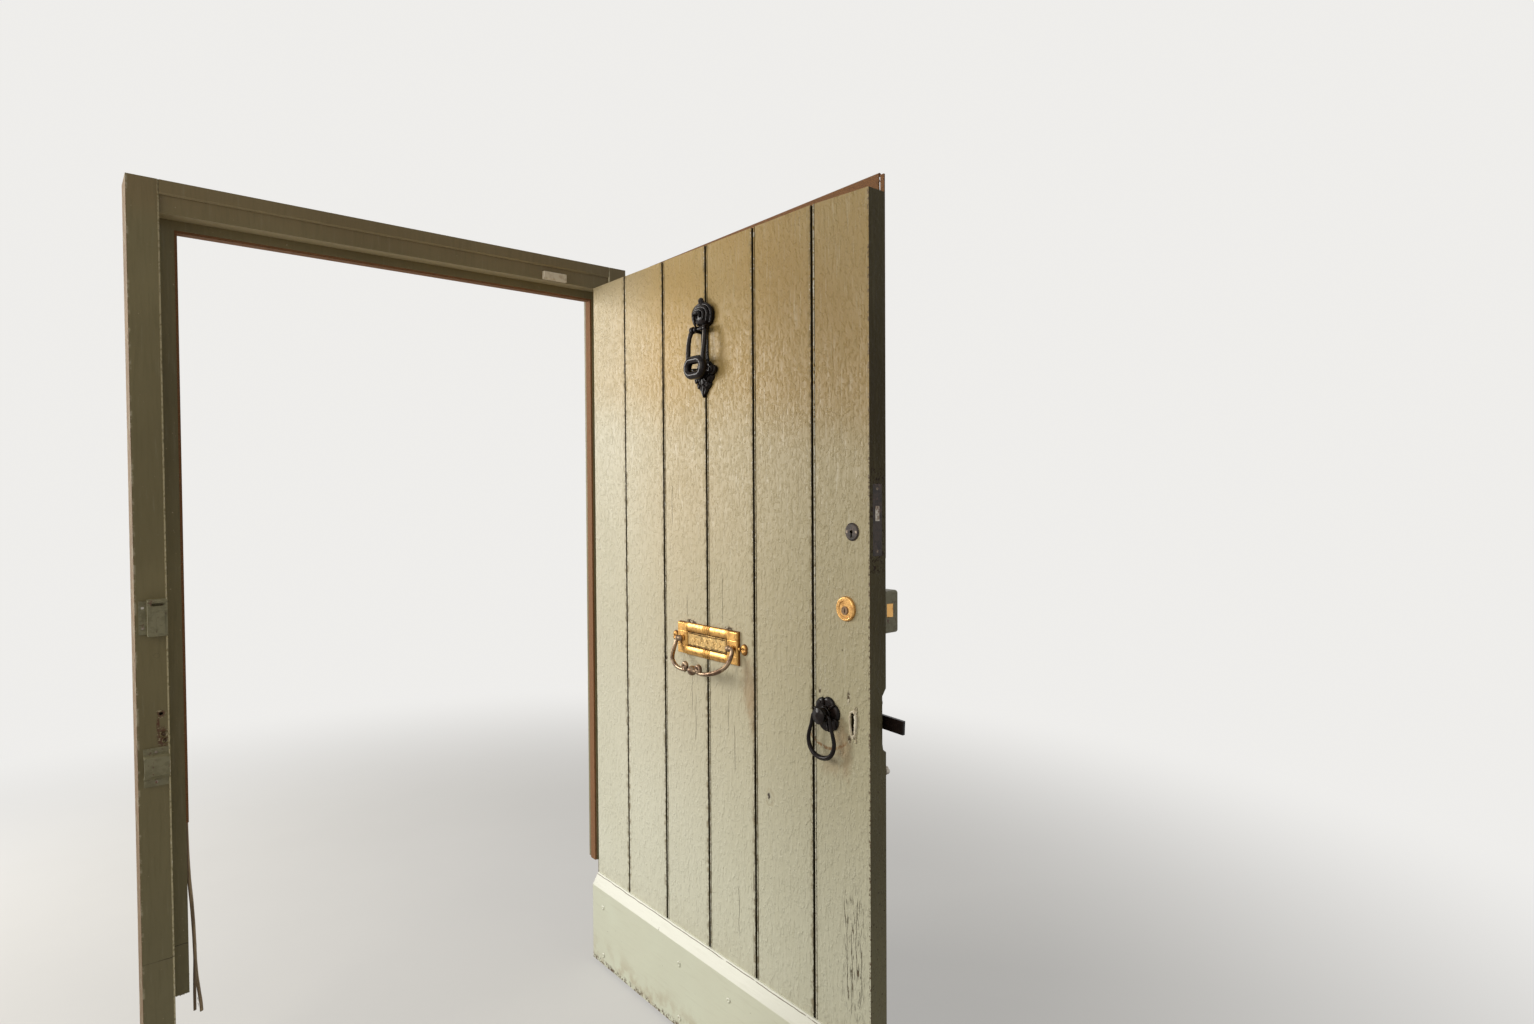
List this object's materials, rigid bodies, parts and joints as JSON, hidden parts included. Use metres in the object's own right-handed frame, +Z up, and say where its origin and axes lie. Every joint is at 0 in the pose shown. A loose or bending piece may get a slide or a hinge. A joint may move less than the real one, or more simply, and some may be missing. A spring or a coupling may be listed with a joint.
{
  "type": "boarded cottage front door in its frame",
  "caption": "Boarded front door standing open in a rebated timber frame, with knocker, letter plate, ring latch, night latch, deadlock and slide bolt.",
  "frame": {"origin": "on the floor, midway between the jambs, in the plane of the frame's room side face", "axes": "+X to the right seen from the room, towards the hinge jamb; +Y out of doors; +Z up; the leaf is stored open at a right angle into the room"},
  "size_m": [1.116, 1.1412, 1.906],
  "materials": {
    "door_paint": "old brush painted satin, sage",
    "kick_board_paint": "weathered brush paint, sage",
    "frame_paint": "old brush painted satin, dark",
    "seal": "matte",
    "painted_metal": "brush painted over",
    "pale_plastic": "matte",
    "steel": "dull, tarnished",
    "black_iron": "black paint, worn satin",
    "brass": "polished, worn",
    "dull_brass": "tarnished",
    "bronzed_metal": "dark bronze"
  },
  "bodies": {
    "frame": {"hinge_jamb": "frame_paint", "latch_jamb": "frame_paint", "latch_jamb_foot": "frame_paint", "head": "frame_paint", "head_packer": "frame_paint", "frame_pegs": "frame_paint", "draught_seals": "seal", "loose_seal": "seal", "nightlatch_keep": "painted_metal", "bolt_keep": "painted_metal", "deadlock_strike": "steel", "contact_switch": "pale_plastic", "lower_hinge_plate": "painted_metal", "upper_hinge_plate": "painted_metal", "hinge_pins": "steel", "frame_screws": "steel"},
    "leaf": {"board_1": "door_paint", "board_2": "door_paint", "board_3": "door_paint", "board_4": "door_paint", "board_5": "door_paint", "board_6": "door_paint", "hinge_stile": "door_paint", "lock_stile": "door_paint", "bottom_rail": "door_paint", "lock_rail": "door_paint", "top_rail": "door_paint", "lower_brace": "door_paint", "upper_brace": "door_paint", "kick_board": "kick_board_paint", "lower_hinge_strap": "painted_metal", "upper_hinge_strap": "painted_metal", "top_seal": "seal", "edge_seal": "seal", "contact_magnet": "pale_plastic", "letter_plate": "brass", "fitting_nuts": "steel", "knocker_base": "black_iron", "knocker_pin": "black_iron", "ring_rosette": "black_iron", "latch_guide": "black_iron", "nightlatch_case": "painted_metal", "cylinder_ring": "brass", "deadlock_case": "bronzed_metal", "keyhole_escutcheons": "bronzed_metal", "slide_bolt_plate": "steel", "door_screws": "steel"},
    "letter_flap": {"letter_flap": "brass"},
    "letter_handle": {"letter_handle": "dull_brass"},
    "striker": {"knocker_striker": "black_iron"},
    "latch_spindle": {"ring_spindle": "black_iron", "latch_bar": "black_iron"},
    "ring": {"ring": "black_iron"},
    "nightlatch_bolt": {"nightlatch_bolt": "brass"},
    "nightlatch_knob": {"nightlatch_knob": "brass"},
    "cylinder_plug": {"cylinder_plug": "brass"},
    "slide_bolt": {"slide_bolt": "steel"},
    "deadlock_bolt": {"deadlock_bolt": "steel"}
  },
  "joints": [
    {"name": "leaf_hinge", "type": "hinge", "parent": "frame", "child": "leaf", "pos_m": [0.50375, -0.0075, 0.953], "axis": [0, 0, 1], "range_deg": [-90, 10]},
    {"name": "letter_flap_hinge", "type": "hinge", "parent": "leaf", "child": "letter_flap", "pos_m": [0.44905, -0.52275, 0.9615], "axis": [0, -1, 0], "range_deg": [0, 75], "stiffness_Nm_per_rad": 0.03, "springref_deg": -34.38},
    {"name": "letter_handle_hinge", "type": "hinge", "parent": "leaf", "child": "letter_handle", "pos_m": [0.43625, -0.52275, 0.94], "axis": [0, 1, 0], "range_deg": [0, 70]},
    {"name": "striker_hinge", "type": "hinge", "parent": "leaf", "child": "striker", "pos_m": [0.43425, -0.51775, 1.648], "axis": [0, 1, 0], "range_deg": [0, 80]},
    {"name": "latch_spindle_turn", "type": "hinge", "parent": "leaf", "child": "latch_spindle", "pos_m": [0.45225, -0.90375, 0.851], "axis": [-1, 0, 0], "range_deg": [0, 18]},
    {"name": "ring_hinge", "type": "hinge", "parent": "latch_spindle", "child": "ring", "pos_m": [0.43425, -0.90375, 0.851], "axis": [0, 1, 0], "range_deg": [-6, 85]},
    {"name": "nightlatch_knob_turn", "type": "hinge", "parent": "leaf", "child": "nightlatch_knob", "pos_m": [0.53225, -0.95525, 1.0598], "axis": [1, 0, 0], "range_deg": [0, 50]},
    {"name": "nightlatch_bolt_slide", "type": "slide", "parent": "leaf", "child": "nightlatch_bolt", "axis": [0, -1, 0], "range_m": [0, 0.016]},
    {"name": "cylinder_plug_turn", "type": "hinge", "parent": "leaf", "child": "cylinder_plug", "pos_m": [0.45225, -0.95525, 1.0568], "axis": [-1, 0, 0], "range_deg": [-90, 90]},
    {"name": "slide_bolt_slide", "type": "slide", "parent": "leaf", "child": "slide_bolt", "axis": [0, -1, 0], "range_m": [0, 0.03]},
    {"name": "deadlock_bolt_slide", "type": "slide", "parent": "leaf", "child": "deadlock_bolt", "axis": [0, -1, 0], "range_m": [0, 0.014]}
  ],
  "couplings": [
    {"joint": "nightlatch_bolt_slide", "follows": "nightlatch_knob_turn", "m_per_rad": 0.01833}
  ]
}
